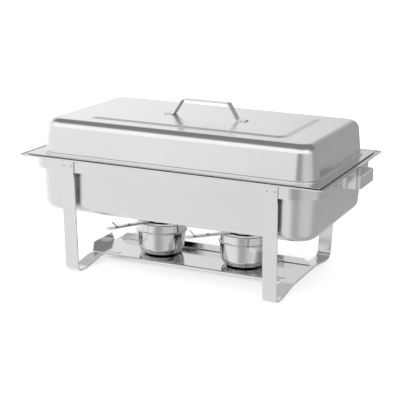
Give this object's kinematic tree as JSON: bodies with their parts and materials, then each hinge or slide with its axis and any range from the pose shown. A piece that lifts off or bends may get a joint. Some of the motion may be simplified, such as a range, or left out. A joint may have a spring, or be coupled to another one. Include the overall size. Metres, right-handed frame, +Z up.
{
  "type": "chafing dish",
  "caption": "Rectangular stainless buffet warmer: strap-leg frame with carry loops, nested water and food pans, lid with strap handle, tray with fuel burners and swing dampers.",
  "frame": {"origin": "on the table, under the middle of the frame", "axes": "+X along the long side towards the right end, +Y from the front towards the back, +Z up"},
  "size_m": [0.594, 0.344, 0.2983],
  "materials": {
    "satin_lid": "satin stainless sheet, softly reflecting",
    "satin_pan": "satin drawn stainless sheet",
    "polished_strip": "polished stainless strip",
    "polished_handle": "polished stainless strap",
    "tray_sheet": "bright rolled stainless sheet",
    "polished_burner": "bright polished stainless sheet",
    "rivet_steel": "plain rivet steel"
  },
  "bodies": {
    "frame": {"front_band": "polished_strip", "rear_band": "polished_strip", "left_leg_strap": "polished_strip", "right_leg_strap": "polished_strip", "leg_rivets": "rivet_steel"},
    "tray": {"burner_tray": "tray_sheet"},
    "water_pan": {"water_pan": "satin_pan"},
    "food_pan": {"food_pan": "satin_pan"},
    "lid": {"lid_shell": "satin_lid", "lid_handle": "polished_handle", "lid_handle_rivets": "rivet_steel"},
    "burner_1": {"burner_1_cup": "polished_burner", "burner_1_cap": "polished_burner", "burner_1_arm": "polished_burner", "burner_1_pivot_rivet": "rivet_steel"},
    "damper_1": {"burner_1_damper": "polished_burner"},
    "burner_2": {"burner_2_cup": "polished_burner", "burner_2_cap": "polished_burner", "burner_2_arm": "polished_burner", "burner_2_pivot_rivet": "rivet_steel"},
    "damper_2": {"burner_2_damper": "polished_burner"}
  },
  "joints": [
    {"name": "water_pan_lift", "type": "slide", "parent": "frame", "child": "water_pan", "axis": [0, 0, 1], "range_m": [0, 0.12]},
    {"name": "food_pan_lift", "type": "slide", "parent": "water_pan", "child": "food_pan", "axis": [0, 0, 1], "range_m": [0, 0.09]},
    {"name": "lid_lift", "type": "slide", "parent": "food_pan", "child": "lid", "axis": [0, 0, 1], "range_m": [0, 0.15]},
    {"name": "tray_lift", "type": "slide", "parent": "frame", "child": "tray", "axis": [0, 0, 1], "range_m": [0, 0.02]},
    {"name": "burner_1_slide_out", "type": "slide", "parent": "tray", "child": "burner_1", "axis": [0, -1, 0], "range_m": [0, 0.13]},
    {"name": "damper_1_swing", "type": "hinge", "parent": "burner_1", "child": "damper_1", "pos_m": [-0.11868, -0.06137, 0.0725], "axis": [0, 0, 1], "range_deg": [0, 40]},
    {"name": "burner_2_slide_out", "type": "slide", "parent": "tray", "child": "burner_2", "axis": [0, -1, 0], "range_m": [0, 0.13]},
    {"name": "damper_2_swing", "type": "hinge", "parent": "burner_2", "child": "damper_2", "pos_m": [0.03171, -0.05255, 0.0725], "axis": [0, 0, 1], "range_deg": [0, 40]}
  ]
}
